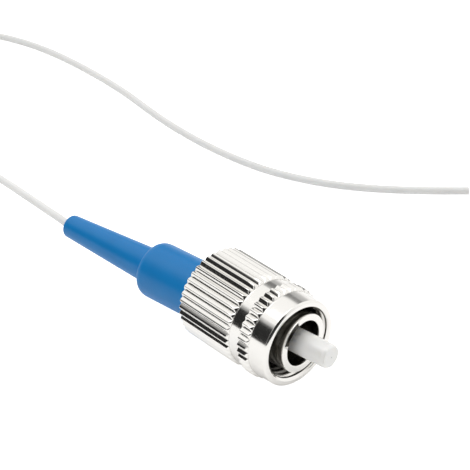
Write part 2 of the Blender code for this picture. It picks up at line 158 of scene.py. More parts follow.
class MeshBuilder:
    """Makes closed meshes from rings of points."""

    @staticmethod
    def skin(name: str, rows: Rows, close_rows: bool) -> bpy.types.Object:
        """Joins rings of points into one closed, smooth body.

        Args:
            name: The new object's name.
            rows: Rings with the same number of points each.
            close_rows: Whether the last ring joins the first. If not, both ends are closed.

        Returns:
            The object, in the row frame.
        """
        width = len(rows[0])
        points = [point for row in rows for point in row]
        faces: list[tuple[int, ...]] = []
        last = len(rows) if close_rows else len(rows) - 1
        for row in range(last):
            above = (row + 1) % len(rows)
            for column in range(width):
                beside = (column + 1) % width
                low, high = row * width, above * width
                faces.append((low + column, low + beside, high + beside, high + column))
        if not close_rows:
            for row in (0, len(rows) - 1):
                middle = sum(rows[row], Vector()) / width
                points.append(middle)
                for column in range(width):
                    faces.append((row * width + column, row * width + (column + 1) % width, len(points) - 1))
        return MeshBuilder.from_faces(name, points, faces)

    @staticmethod
    def from_faces(name: str, points: Sequence[Vector], faces: Sequence[tuple[int, ...]]) -> bpy.types.Object:
        """Makes a smooth object of these faces, with doubled points made one and every face turned outwards.

        Args:
            name: The new object's name.
            points: The mesh's points in the row frame.
            faces: Each face's point numbers.

        Returns:
            The linked object.
        """
        mesh = bpy.data.meshes.new(name)
        mesh.from_pydata([tuple(point) for point in points], [], faces)
        shape = bmesh.new()
        shape.from_mesh(mesh)
        bmesh.ops.remove_doubles(shape, verts=shape.verts, dist=2e-7)
        bmesh.ops.recalc_face_normals(shape, faces=shape.faces)
        shape.to_mesh(mesh)
        shape.free()
        mesh.shade_smooth()
        obj = bpy.data.objects.new(name, mesh)
        bpy.context.scene.collection.objects.link(obj)
        return obj

    @staticmethod
    def turned(name: str, outline: Profile, axis: Axis, columns: int, closed: bool) -> bpy.types.Object:
        """Turns an outline about an axis.

        Args:
            name: The new object's name.
            outline: Places as (along, radius).
            axis: The line to turn about.
            columns: How many points each ring has.
            closed: Whether the outline closes on itself round a bore.

        Returns:
            The object, with faces weighted so that flats stay flat.
        """
        rows = [
            [axis.point(along, radius, 2 * math.pi * column / columns) for column in range(columns)]
            for along, radius in outline
        ]
        obj = MeshBuilder.skin(name, rows, closed)
        MeshBuilder.even_shading(obj)
        return obj

    @staticmethod
    def even_shading(obj: bpy.types.Object) -> None:
        """Lets large faces set the shading beside small rounded edges."""
        weighting = obj.modifiers.new("even_shading", "WEIGHTED_NORMAL")
        weighting.keep_sharp = True

    @staticmethod
    def measure(obj: bpy.types.Object, name: str, value: Callable[[Vector], float]) -> None:
        """Stores a value of each point on the mesh, for its material.

        Args:
            obj: A mesh object in the row frame.
            name: The stored attribute's name.
            value: Gives the value at a place.
        """
        layer = obj.data.attributes.new(name, "FLOAT", "POINT")
        layer.data.foreach_set("value", [value(vert.co) for vert in obj.data.vertices])


class NodeBuilder:
    """Adds shader nodes to one tree and joins them."""

    def __init__(self, tree: bpy.types.NodeTree) -> None:
        """Starts on this tree."""
        self.tree = tree

    def add(self, kind: str, **settings: object) -> bpy.types.Node:
        """Adds a node.

        Args:
            kind: The node's type.
            settings: Values of the node's own attributes.

        Returns:
            The new node.
        """
        node = self.tree.nodes.new(kind)
        for name, value in settings.items():
            setattr(node, name, value)
        return node

    def join(self, source: bpy.types.NodeSocket, target: bpy.types.NodeSocket) -> None:
        """Links one socket to another."""
        self.tree.links.new(source, target)

    def math(self, operation: str, first: object, second: object = None) -> bpy.types.NodeSocket:
        """Adds a Math node.

        Args:
            operation: The node's operation.
            first: A socket or a number.
            second: A socket, a number or nothing.

        Returns:
            The result's socket.
        """
        node = self.add("ShaderNodeMath", operation=operation)
        for place, value in enumerate((first, second)):
            if isinstance(value, bpy.types.NodeSocket):
                self.join(value, node.inputs[place])
            elif value is not None:
                node.inputs[place].default_value = value
        return node.outputs[0]

    def span(
        self, value: bpy.types.NodeSocket, low: float, high: float, to_low: float, to_high: float
    ) -> bpy.types.NodeSocket:
        """Moves a value from one range to another, held at both ends.

        Args:
            value: The value's socket.
            low: The range's start.
            high: The range's end.
            to_low: What the start becomes.
            to_high: What the end becomes.

        Returns:
            The moved value's socket.
        """
        node = self.add("ShaderNodeMapRange")
        self.join(value, node.inputs["Value"])
        limits = {"From Min": low, "From Max": high, "To Min": to_low, "To Max": to_high}
        for name, number in limits.items():
            node.inputs[name].default_value = number
        return node.outputs[0]

    def mix(self, factor: bpy.types.NodeSocket, first: object, second: object) -> bpy.types.NodeSocket:
        """Adds a colour Mix node.

        Args:
            factor: The share of the second colour.
            first: A socket or a colour of four numbers.
            second: A socket or a colour of four numbers.

        Returns:
            The mixed colour's socket.
        """
        node = self.add("ShaderNodeMix", data_type="RGBA")
        self.join(factor, node.inputs[0])
        for place, value in ((6, first), (7, second)):
            if isinstance(value, bpy.types.NodeSocket):
                self.join(value, node.inputs[place])
            else:
                node.inputs[place].default_value = value
        return node.outputs[2]

    def noise(self, vector: bpy.types.NodeSocket, scale: float, detail: float = 3.0) -> bpy.types.NodeSocket:
        """Adds a noise texture.

        Args:
            vector: The place's socket.
            scale: How many times the noise repeats in a metre.
            detail: How much finer noise is laid on it.

        Returns:
            The noise's socket.
        """
        node = self.add("ShaderNodeTexNoise")
        self.join(vector, node.inputs["Vector"])
        node.inputs["Scale"].default_value = scale
        node.inputs["Detail"].default_value = detail
        return node.outputs[0]


class GroupLibrary:
    """The node groups that more than one finish uses, each built once."""

    def __init__(self) -> None:
        """Starts with no group built."""
        self.built: dict[str, bpy.types.ShaderNodeTree] = {}

    def start(
        self, name: str, inputs: Iterable[tuple[str, str, float]], outputs: Iterable[tuple[str, str]]
    ) -> tuple[NodeBuilder, bpy.types.Node, bpy.types.Node]:
        """Makes an empty group with its sockets.

        Args:
            name: The group's name.
            inputs: Name, socket type and starting value of each input.
            outputs: Name and socket type of each output.

        Returns:
            The builder, and the group's input and output nodes.
        """
        tree = bpy.data.node_groups.new(name, "ShaderNodeTree")
        for title, kind, value in inputs:
            socket = tree.interface.new_socket(title, in_out="INPUT", socket_type=kind)
            socket.default_value = (value, value, value, 1.0) if kind == "NodeSocketColor" else value
        for title, kind in outputs:
            tree.interface.new_socket(title, in_out="OUTPUT", socket_type=kind)
        nodes = NodeBuilder(tree)
        self.built[name] = tree
        return nodes, nodes.add("NodeGroupInput"), nodes.add("NodeGroupOutput")

    def turning_marks(self) -> bpy.types.ShaderNodeTree:
        """Builds the fine rings that a lathe leaves round a piece's own X axis, and its painted recess shade.

        Returns:
            The group, made on the first call.
        """
        name = "turning_marks"
        if name in self.built:
            return self.built[name]
        nodes, given, out = self.start(
            name,
            (
                ("Tint", "NodeSocketColor", 0.8),
                ("Shade", "NodeSocketColor", 0.2),
                ("Roughness", "NodeSocketFloat", 0.15),
                ("Spread", "NodeSocketFloat", 0.1),
                ("Recess", "NodeSocketFloat", 0.0),
            ),
            (("Color", "NodeSocketColor"), ("Roughness", "NodeSocketFloat"), ("Height", "NodeSocketFloat")),
        )
        place = nodes.add("ShaderNodeTexCoord").outputs["Object"]
        parts = nodes.add("ShaderNodeSeparateXYZ")
        nodes.join(place, parts.inputs[0])
        rings = nodes.add("ShaderNodeTexNoise", noise_dimensions="1D")
        nodes.join(nodes.math("MULTIPLY", parts.outputs[0], 9000.0), rings.inputs["W"])
        rings.inputs["Scale"].default_value = 1.0
        rings.inputs["Detail"].default_value = 4.0
        cloud = nodes.noise(place, 900.0, 4.0)
        fine = nodes.math("MULTIPLY", rings.outputs[0], 0.6)
        wear = nodes.math("ADD", fine, nodes.math("MULTIPLY", cloud, 0.4))
        uneven = nodes.math("MULTIPLY", nodes.math("SUBTRACT", wear, 0.5), given.outputs["Spread"])
        rough = nodes.math("ADD", given.outputs["Roughness"], uneven)
        recess = given.outputs["Recess"]
        nodes.join(nodes.math("ADD", rough, nodes.math("MULTIPLY", recess, 0.12)), out.inputs["Roughness"])
        # painted shade: the recess mask, broken a little by the cloud noise, darkens Tint towards Shade
        painted_shade = nodes.math("MULTIPLY", recess, nodes.span(cloud, 0.3, 0.7, 0.88, 1.0))
        nodes.join(nodes.mix(painted_shade, given.outputs["Tint"], given.outputs["Shade"]), out.inputs["Color"])
        nodes.join(wear, out.inputs["Height"])
        return self.built[name]

    def moulded_skin(self) -> bpy.types.ShaderNodeTree:
        """Builds the faint mottle and grain of a moulded or drawn plastic surface.

        Returns:
            The group, made on the first call.
        """
        name = "moulded_skin"
        if name in self.built:
            return self.built[name]
        nodes, given, out = self.start(
            name,
            (
                ("Tint", "NodeSocketColor", 0.8),
                ("Shade", "NodeSocketColor", 0.6),
                ("Roughness", "NodeSocketFloat", 0.4),
                ("Grain", "NodeSocketFloat", 9000.0),
            ),
            (("Color", "NodeSocketColor"), ("Roughness", "NodeSocketFloat"), ("Height", "NodeSocketFloat")),
        )
        place = nodes.add("ShaderNodeTexCoord").outputs["Object"]
        cloud = nodes.noise(place, 420.0, 3.0)
        grain = nodes.add("ShaderNodeTexNoise")
        nodes.join(place, grain.inputs["Vector"])
        nodes.join(given.outputs["Grain"], grain.inputs["Scale"])
        grain.inputs["Detail"].default_value = 2.0
        mottle = nodes.span(cloud, 0.3, 0.7, 0.0, 1.0)
        nodes.join(nodes.mix(mottle, given.outputs["Tint"], given.outputs["Shade"]), out.inputs["Color"])
        change = nodes.math("MULTIPLY", nodes.math("SUBTRACT", grain.outputs[0], 0.5), 0.12)
        nodes.join(nodes.math("ADD", given.outputs["Roughness"], change), out.inputs["Roughness"])
        nodes.join(grain.outputs[0], out.inputs["Height"])
        return self.built[name]


GROUPS = GroupLibrary()


def new_shader(name: str) -> tuple[bpy.types.Material, NodeBuilder, bpy.types.Node]:
    """Makes a material with its Principled shader.

    Args:
        name: The material's name.

    Returns:
        The material, a builder on its tree and the shader node.
    """
    material = bpy.data.materials.new(name)
    material.use_nodes = True
    nodes = NodeBuilder(material.node_tree)
    return material, nodes, material.node_tree.nodes["Principled BSDF"]


def add_relief(
    nodes: NodeBuilder, shader: bpy.types.Node, height: bpy.types.NodeSocket, depth: float, strength: float
) -> None:
    """Lets a height move the shader's normal.

    Args:
        nodes: A builder on the material's tree.
        shader: The material's shader.
        height: The height's socket, from 0 to 1.
        depth: What a height of 1 stands for, in metres.
        strength: The bump's strength.
    """
    bump = nodes.add("ShaderNodeBump")
    bump.inputs["Distance"].default_value = depth
    bump.inputs["Strength"].default_value = strength
    nodes.join(height, bump.inputs["Height"])
    nodes.join(bump.outputs[0], shader.inputs["Normal"])


@dataclass(frozen=True)
class MetalFinish:
    """Turned metal, bright on its faces, with painted shade darkening its recesses."""

    name: str
    tint: tuple[float, float, float]
    shade: tuple[float, float, float]
    roughness: float
    spread: float
    relief: float

    def material(self) -> bpy.types.Material:
        """Makes this finish.

        Returns:
            The material.
        """
        material, nodes, shader = new_shader(self.name)
        marks = nodes.add("ShaderNodeGroup", node_tree=GROUPS.turning_marks())
        marks.inputs["Tint"].default_value = (*self.tint, 1)
        marks.inputs["Shade"].default_value = (*self.shade, 1)
        marks.inputs["Roughness"].default_value = self.roughness
        marks.inputs["Spread"].default_value = self.spread
        # the recess mask, which says where painted shade darkens the metal
        recess = nodes.add("ShaderNodeAttribute", attribute_name="recess")
        nodes.join(recess.outputs["Fac"], marks.inputs["Recess"])
        nodes.join(marks.outputs["Color"], shader.inputs["Base Color"])
        nodes.join(marks.outputs["Roughness"], shader.inputs["Roughness"])
        shader.inputs["Metallic"].default_value = 1.0
        add_relief(nodes, shader, marks.outputs["Height"], self.relief, 0.35)
        return material


@dataclass(frozen=True)
class PlasticFinish:
    """Moulded or drawn plastic with a faint mottle and grain."""

    name: str
    tint: tuple[float, float, float]
    shade: tuple[float, float, float]
    roughness: float
    grain: float
    relief: float
    specular: float = 0.5
    scatter: float = 0.0

    def material(self) -> bpy.types.Material:
        """Makes this finish.

        Returns:
            The material.
        """
        material, nodes, shader = new_shader(self.name)
        skin = nodes.add("ShaderNodeGroup", node_tree=GROUPS.moulded_skin())
        skin.inputs["Tint"].default_value = (*self.tint, 1)
        skin.inputs["Shade"].default_value = (*self.shade, 1)
        skin.inputs["Roughness"].default_value = self.roughness
        skin.inputs["Grain"].default_value = self.grain
        nodes.join(skin.outputs["Color"], shader.inputs["Base Color"])
        nodes.join(skin.outputs["Roughness"], shader.inputs["Roughness"])
        shader.inputs["Specular IOR Level"].default_value = self.specular
        if self.scatter > 0:
            shader.inputs["Subsurface Weight"].default_value = self.scatter
            shader.inputs["Subsurface Scale"].default_value = 0.4 * MM
            shader.inputs["Subsurface Radius"].default_value = (1.0, 0.9, 0.8)
        add_relief(nodes, shader, skin.outputs["Height"], self.relief, 0.3)
        return material


@dataclass(frozen=True)
class CeramicFinish:
    """Ground and polished white zirconia: dense, glossy and a little translucent."""

    name: str = "polished_zirconia"
    tint: tuple[float, float, float] = (0.90, 0.90, 0.895)
    roughness: float = 0.22

    def material(self) -> bpy.types.Material:
        """Makes this finish.

        Returns:
            The material.
        """
        material, nodes, shader = new_shader(self.name)
        place = nodes.add("ShaderNodeTexCoord").outputs["Object"]
        cloud = nodes.noise(place, 500.0, 2.0)
        tint = (*self.tint, 1)
        warm = (self.tint[0] * 0.97, self.tint[1] * 0.965, self.tint[2] * 0.94, 1)
        nodes.join(nodes.mix(cloud, tint, warm), shader.inputs["Base Color"])
        grain = nodes.noise(place, 6000.0, 2.0)
        rough = nodes.span(grain, 0.3, 0.7, self.roughness - 0.03, self.roughness + 0.03)
        nodes.join(rough, shader.inputs["Roughness"])
        shader.inputs["IOR"].default_value = 1.8
        shader.inputs["Subsurface Weight"].default_value = 0.35
        shader.inputs["Subsurface Scale"].default_value = 0.5 * MM
        shader.inputs["Subsurface Radius"].default_value = (1.0, 0.95, 0.85)
        return material


@dataclass(frozen=True)
class GlassFinish:
    """The glass of the fibre itself, seen end on."""

    name: str = "fibre_glass"
    tint: tuple[float, float, float] = (0.32, 0.33, 0.35)

    def material(self) -> bpy.types.Material:
        """Makes this finish.

        Returns:
            The material.
        """
        material, nodes, shader = new_shader(self.name)
        place = nodes.add("ShaderNodeTexCoord").outputs["Object"]
        tint = (*self.tint, 1)
        pale = tuple(part * 1.3 for part in self.tint)
        nodes.join(nodes.mix(nodes.noise(place, 20000.0, 1.0), tint, (*pale, 1)), shader.inputs["Base Color"])
        shader.inputs["Roughness"].default_value = 0.08
        return material


class Finishes:
    """Every finish of the pigtail, made once as materials."""

    def __init__(self) -> None:
        """Makes the materials."""
        nickel = (0.89, 0.875, 0.845)
        # The dark second colour of each nickel is painted shade, laid on where the recess mask rises.
        self.nickel = MetalFinish(
            "bright_nickel", nickel, (0.06, 0.053, 0.036), roughness=0.13, spread=0.12, relief=0.004 * MM
        ).material()
        self.sleeve_nickel = MetalFinish(
            "sleeve_nickel", nickel, (0.04, 0.036, 0.026), roughness=0.16, spread=0.10, relief=0.003 * MM
        ).material()
        self.spring = MetalFinish(
            "spring_wire", (0.42, 0.42, 0.43), (0.1, 0.1, 0.1), roughness=0.30, spread=0.10, relief=0.002 * MM
        ).material()
        self.boot = PlasticFinish(
            "satin_blue_boot",
            tint=(0.002, 0.195, 0.520),
            shade=(0.002, 0.184, 0.495),
            roughness=0.34,
            grain=7000.0,
            relief=0.006 * MM,
            specular=0.35,
        ).material()
        self.buffer = PlasticFinish(
            "white_buffer_jacket",
            tint=(0.83, 0.83, 0.82),
            shade=(0.80, 0.80, 0.79),
            roughness=0.42,
            grain=9000.0,
            relief=0.003 * MM,
            scatter=0.15,
        ).material()
        self.nylon = PlasticFinish(
            "natural_nylon",
            tint=(0.80, 0.80, 0.76),
            shade=(0.75, 0.75, 0.70),
            roughness=0.38,
            grain=5000.0,
            relief=0.004 * MM,
            scatter=0.3,
        ).material()
        self.ceramic = CeramicFinish().material()
        self.glass = GlassFinish().material()


def dress(
    obj: bpy.types.Object, material: bpy.types.Material, slot: Slot, body: Body, *nodes: str
) -> bpy.types.Object:
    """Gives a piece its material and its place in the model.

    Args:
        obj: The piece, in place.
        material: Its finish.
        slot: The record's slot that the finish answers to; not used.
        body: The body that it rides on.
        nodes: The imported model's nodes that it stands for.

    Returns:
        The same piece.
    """
    obj.data.materials.clear()
    obj.data.materials.append(material)
    if nodes:
        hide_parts(*nodes)
    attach(obj, body.value)
    LOG.info("%s rides on %s", obj.name, body.value)
    return obj


@dataclass
class CouplingNut:
    """The knurled nut, one body from its rim round the knurl and back through its thread."""

    length: float = 12.14 * MM
    knurl_radius: float = 4.96 * MM
    knurl_depth: float = 0.27 * MM
    ridges: int = 40
    crest_share: float = 0.10
    floor_share: float = 0.05
    crown: float = 0.012 * MM
    ring_radius: float = 4.66 * MM
    ring_length: float = 2.20 * MM
    front_band: float = 1.36 * MM
    groove: float = 1.40 * MM
    end_chamfer: float = 0.27 * MM
    band_rear_chamfer: float = 0.04 * MM
    rear_chamfer: float = 0.06 * MM
    ring_taper: float = 0.07 * MM
    rim_chamfer: float = 0.20 * MM
    mouth_radius: float = 4.02 * MM
    thread_minor: float = 3.66 * MM
    thread_major: float = 4.00 * MM
    pitch: float = 0.75 * MM
    thread_end: float = 4.90 * MM
    relief_radius: float = 4.10 * MM
    lip_radius: float = 3.35 * MM
    lip_length: float = 1.20 * MM
    mouth_edge: float = 0.03 * MM
    rear_edge: float = 0.08 * MM
    wall_fillet: float = 0.05 * MM
    wall_foot: float = 0.02 * MM
    relief_run: float = 0.50 * MM
    row_spacing: float = 0.90 * MM
    rings_per_turn: int = 10
    unevenness: float = 0.012 * MM
    most_lean: float = 0.05
    seed: int = 7

    def ridge_samples(self) -> list[tuple[float, float]]:
        """Lays points round the knurl, close together at each crest and valley.

        Returns:
            Each point's (angle, radius), once round the nut.
        """
        crest = self.crest_share
        floor = 1 - self.floor_share
        inner = (crest + 0.06, 0.50, 0.82, floor - 0.03)
        upper = (-crest / 2, crest / 2, crest, *inner, floor)
        shares = [-1.0, -floor, *[-value for value in reversed(inner)], -crest, *upper]
        chance = random.Random(self.seed)
        step = 2 * math.pi / self.ridges
        samples = []
        for ridge in range(self.ridges):
            height = chance.uniform(-1, 1) * self.unevenness
            lean = chance.uniform(-self.most_lean, self.most_lean)
            for share in shares:
                down = min(max((abs(share) - crest) / (floor - crest), 0.0), 1.0)
                rounding = self.crown * (share / crest) ** 2 if down == 0 else 0.0
                top = self.knurl_radius - self.crown - rounding
                radius = top - self.knurl_depth * down + height * (1 - down)
                slide = lean * (1 - abs(share))
                samples.append((step * (ridge + 0.5 + (share + slide) / 2), radius))
        return samples

    def band(
        self, front: float, rear: float, front_cut: float, rear_cut: float
    ) -> list[tuple[float, float, bool]]:
        """Lays rings over one knurled band, from its front wall to its rear chamfer.

        Args:
            front: The band's front face.
            rear: The band's rear face.
            front_cut: How far the front chamfer reaches down and back.
            rear_cut: How far the rear chamfer reaches down and forward.

        Returns:
            Each ring's (along, largest radius, True), because all of it is knurled.
        """
        wall = self.knurl_radius - front_cut - self.ring_radius
        places = [(front, self.ring_radius + part * wall, True) for part in (0.05, 0.5, 0.9)]
        front_steps, rear_steps = 7, 4
        for step in range(front_steps + 1):
            part = step / front_steps
            places.append((front - front_cut * part, self.knurl_radius - front_cut * (1 - part), True))
        length = front - front_cut - (rear + rear_cut)
        runs = max(2, round(length / self.row_spacing))
        for step in range(1, runs):
            places.append((front - front_cut - length * step / runs, self.knurl_radius, True))
        for step in range(rear_steps + 1):
            part = step / rear_steps
            places.append((rear + rear_cut * (1 - part), self.knurl_radius - rear_cut * part, True))
        return places

    def outside(self) -> list[tuple[float, float, bool]]:
        """Lays rings over the outside, from the rim to the rear face.

        Returns:
            Each ring's (along, largest radius, whether it is knurled).
        """
        band_front = -self.ring_length
        band_rear = band_front - self.front_band
        long_front = band_rear - self.groove
        ring = self.ring_radius
        rim = ring - self.ring_taper
        chamfer = self.rim_chamfer
        fillet = self.wall_fillet
        places = [
            (0.0, self.mouth_radius + self.mouth_edge, False),
            (0.0, rim - chamfer - 0.015 * MM, False),
            (-0.006 * MM, rim - chamfer + 0.004 * MM, False),
            (-chamfer + 0.006 * MM, rim - 0.006 * MM, False),
            (-chamfer - 0.015 * MM, rim, False),
            (-chamfer - 0.05 * MM, rim + 0.001 * MM, False),
            (-chamfer - 0.12 * MM, rim + 0.003 * MM, False),
            (-0.35 * self.ring_length, rim + 0.3 * self.ring_taper, False),
            (-0.70 * self.ring_length, rim + 0.7 * self.ring_taper, False),
            (band_front + fillet + 0.12 * MM, ring, False),
            (band_front + fillet + 0.04 * MM, ring, False),
            (band_front + fillet, ring, False),
            (band_front + 0.01 * MM, ring + 0.015 * MM, False),
        ]
        places += self.band(band_front, band_rear, self.end_chamfer, self.band_rear_chamfer)
        places += [(band_rear, ring + self.wall_foot, False), (band_rear - fillet, ring, False)]
        for share in (0.08, 0.16, 0.5, 0.84, 0.92):
            places.append((band_rear - self.groove * share, ring, False))
        places += [(long_front + fillet, ring, False), (long_front, ring + self.wall_foot, False)]
        places += self.band(long_front, -self.length, self.end_chamfer, self.rear_chamfer)
        return places

    def inside(self) -> list[tuple[float, float, bool]]:
        """Lays rings over the inside, from the rear face forward to the mouth.

        Returns:
            Each ring's (along, radius, whether it is threaded).
        """
        lip_front = -(self.length - self.lip_length)
        places = [
            (-self.length, self.lip_radius + self.rear_edge, False),
            (-self.length + self.rear_edge, self.lip_radius, False),
            (lip_front, self.lip_radius, False),
            (lip_front, self.relief_radius, False),
            (-self.thread_end - self.relief_run, self.relief_radius, False),
        ]
        count = round(self.thread_end / self.pitch * self.rings_per_turn)
        for step in range(count + 1):
            along = -self.thread_end * (1 - step / count)
            lead_in = self.mouth_radius + along
            places.append((along, max(lead_in, self.thread_minor), True))
        return places

    def thread_radius(self, along: float, angle: float, lead_in: float) -> float:
        """Cuts the right-hand thread.

        Args:
            along: The place along the nut, from its mouth.
            angle: The place round the nut.
            lead_in: The radius of the mouth's cone there.

        Returns:
            The thread's radius, no smaller than the cone's.
        """
        phase = (along / self.pitch - angle / (2 * math.pi)) % 1.0
        rise = 1 - abs(2 * phase - 1)
        cut = min(max(rise * 1.25 - 0.12, 0.0), 1.0)
        fade = smooth_step((along + self.thread_end) / (0.6 * self.pitch))
        return max(lead_in, self.thread_minor + (self.thread_major - self.thread_minor) * cut * fade)

    def build(self, finishes: Finishes) -> bpy.types.Object:
        """Makes the nut.

        Args:
            finishes: The pigtail's materials.

        Returns:
            The nut, riding on its own body.
        """
        samples = self.ridge_samples()
        floor = self.ring_radius + 0.01 * MM
        rows: Rows = []
        for along, limit, knurled in self.outside():
            row = []
            for angle, knurl in samples:
                radius = max(floor, min(limit, knurl)) if knurled and limit > floor else limit
                row.append(NUT_AXIS.point(along, radius, angle))
            rows.append(row)
        for along, lead_in, threaded in self.inside():
            row = []
            for angle, _ in samples:
                radius = self.thread_radius(along, angle, lead_in) if threaded else lead_in
                row.append(NUT_AXIS.point(along, radius, angle))
            rows.append(row)
        nut = MeshBuilder.skin("nut_body", rows, True)
        MeshBuilder.even_shading(nut)
        # the recess mask paints shade down the mouth and into the thread roots
        MeshBuilder.measure(nut, "recess", self.recess)
        return dress(nut, finishes.nickel, Slot.NICKEL, Body.NUT, "coupling_nut")

    def recess(self, place: Vector) -> float:
        """Measures how deep and how far into the thread a place lies, as the mask of the painted shade down
        the mouth.

        Args:
            place: A point of the nut.

        Returns:
            From 0 on the outside and at the rim to 1 at a thread's root far down the mouth.
        """
        local = place - MOUTH
        radius = math.hypot(local.y, local.z)
        if radius < self.relief_radius + 0.05 * MM:
            root = (radius - self.thread_minor) / (self.thread_major - self.thread_minor)
            depth = smooth_step((-local.x - 0.10 * MM) / (3.0 * MM))
            return depth * (0.05 + 0.95 * min(max(root, 0.0), 1.0) ** 2)
        return 0.0


@dataclass
class KeySleeve:
    """The front sleeve round the ferrule, with its flange, stop lip and alignment key."""

    radius: float = 3.07 * MM
    bore: float = 2.38 * MM
    length: float = 10.20 * MM
    flange_start: float = 6.40 * MM
    flange_length: float = 1.00 * MM
    flange_radius: float = 3.55 * MM
    barrel_radius: float = 2.90 * MM
    lip_start: float = 4.20 * MM
    lip_length: float = 0.80 * MM
    lip_bore: float = 1.40 * MM
    key_width: float = 2.00 * MM
    key_top: float = 3.29 * MM
    key_start: float = 0.25 * MM
    key_length: float = 4.50 * MM
    key_angle: float = math.radians(-43)
    pocket_middle: float = math.radians(133)
    pocket_half: float = math.radians(28)
    pocket_inner: float = 2.47 * MM
    pocket_outer: float = 2.98 * MM
    pocket_depth: float = 0.70 * MM
    pocket_wall: float = math.radians(3)
    pocket_rows: tuple[float, ...] = (2.60 * MM, 2.73 * MM, 2.86 * MM)
    edge: float = 0.10 * MM
    steep: float = 0.01 * MM
    columns: int = 288

    def outline(self) -> Profile:
        """Draws the sleeve's outline.

        Returns:
            Its places, from the bore's front edge round the outside and back.
        """
        flange_rear = -(self.flange_start + self.flange_length)
        lip_rear = -(self.lip_start + self.lip_length)
        edge, steep = self.edge, self.steep
        face = [
            (-0.05 * MM, self.bore),
            (-0.012 * MM, self.bore + 0.03 * MM),
            (0.0, self.bore + 0.06 * MM),
        ]
        inner, outer = self.pocket_inner, self.pocket_outer
        radii = (inner, inner + 0.02 * MM, *self.pocket_rows, outer - 0.02 * MM, outer)
        face += [(0.0, radius) for radius in radii]
        rest = soft_outline(
            [
                Corner(0.0, outer + 0.005 * MM),
                Corner(0.0, self.radius, edge),
                Corner(-self.key_start, self.radius),
                Corner(-self.key_start - steep, self.radius),
                Corner(-self.key_start - self.key_length, self.radius),
                Corner(-self.key_start - self.key_length - steep, self.radius),
                Corner(-self.flange_start, self.radius),
                Corner(-self.flange_start, self.flange_radius, edge),
                Corner(flange_rear, self.flange_radius, edge),
                Corner(flange_rear, self.barrel_radius),
                Corner(-self.length, self.barrel_radius, edge),
                Corner(-self.length, self.bore, edge / 2),
                Corner(lip_rear, self.bore),
                Corner(lip_rear, self.lip_bore, edge / 2),
                Corner(-self.lip_start, self.lip_bore, edge / 2),
                Corner(-self.lip_start, self.bore),
                Corner(-0.3 * MM, self.bore),
            ],
            False,
        )
        return face + rest

    def shaped(self, along: float, radius: float, angle: float) -> tuple[float, float]:
        """Sinks the face's pocket and raises the key.

        Args:
            along: A place along the outline.
            radius: Its radius.
            angle: Its angle round the sleeve.

        Returns:
            The moved (along, radius).
        """
        off_pocket = abs((angle - self.pocket_middle + math.pi) % (2 * math.pi) - math.pi)
        in_pocket = self.pocket_inner + self.steep < radius < self.pocket_outer - self.steep
        if along > -0.001 * MM and in_pocket and off_pocket < self.pocket_half:
            along -= self.pocket_depth * smooth_step((self.pocket_half - off_pocket) / self.pocket_wall)
        off_key = abs((angle - self.key_angle + math.pi) % (2 * math.pi) - math.pi)
        key_front = -self.key_start - 0.005 * MM
        in_key = key_front - self.key_length <= along <= key_front
        aside = self.key_top * math.sin(min(off_key, 1.5))
        if in_key and radius > self.radius - self.steep and aside < self.key_width / 2:
            radius = self.key_top
        return along, radius

    def recess(self, place: Vector) -> float:
        """Measures how far a place lies behind the front face, or in its pocket, as the mask of the painted
        shade there.

        Args:
            place: A point of the sleeve.

        Returns:
            From 0 on the front face to 1 a quarter of a millimetre behind it, and 1 all over the pocket.
        """
        local = CONNECTOR_AXIS.turn.inverted() @ (place - SLEEVE_FRONT)
        off_pocket = abs(math.atan2(local.z, local.y) - self.pocket_middle)
        if off_pocket < self.pocket_half and math.hypot(local.y, local.z) < self.pocket_outer - 0.05 * MM:
            return 1.0
        return smooth_step((-local.x - 0.04 * MM) / (0.20 * MM))

    def build(self, finishes: Finishes) -> bpy.types.Object:
        """Makes the sleeve.

        Args:
            finishes: The pigtail's materials.

        Returns:
            The sleeve, riding on the connector.
        """
        rows: Rows = []
        for along, radius in self.outline():
            row = []
            for column in range(self.columns):
                angle = 2 * math.pi * column / self.columns
                row.append(CONNECTOR_AXIS.point(*self.shaped(along, radius, angle), angle))
            rows.append(row)
        sleeve = MeshBuilder.skin("sleeve_body", rows, True)
        MeshBuilder.even_shading(sleeve)
        # the recess mask paints shade behind the front face and all over the pocket
        MeshBuilder.measure(sleeve, "recess", self.recess)
        return dress(sleeve, finishes.sleeve_nickel, Slot.NICKEL, Body.CONNECTOR, "key_sleeve")


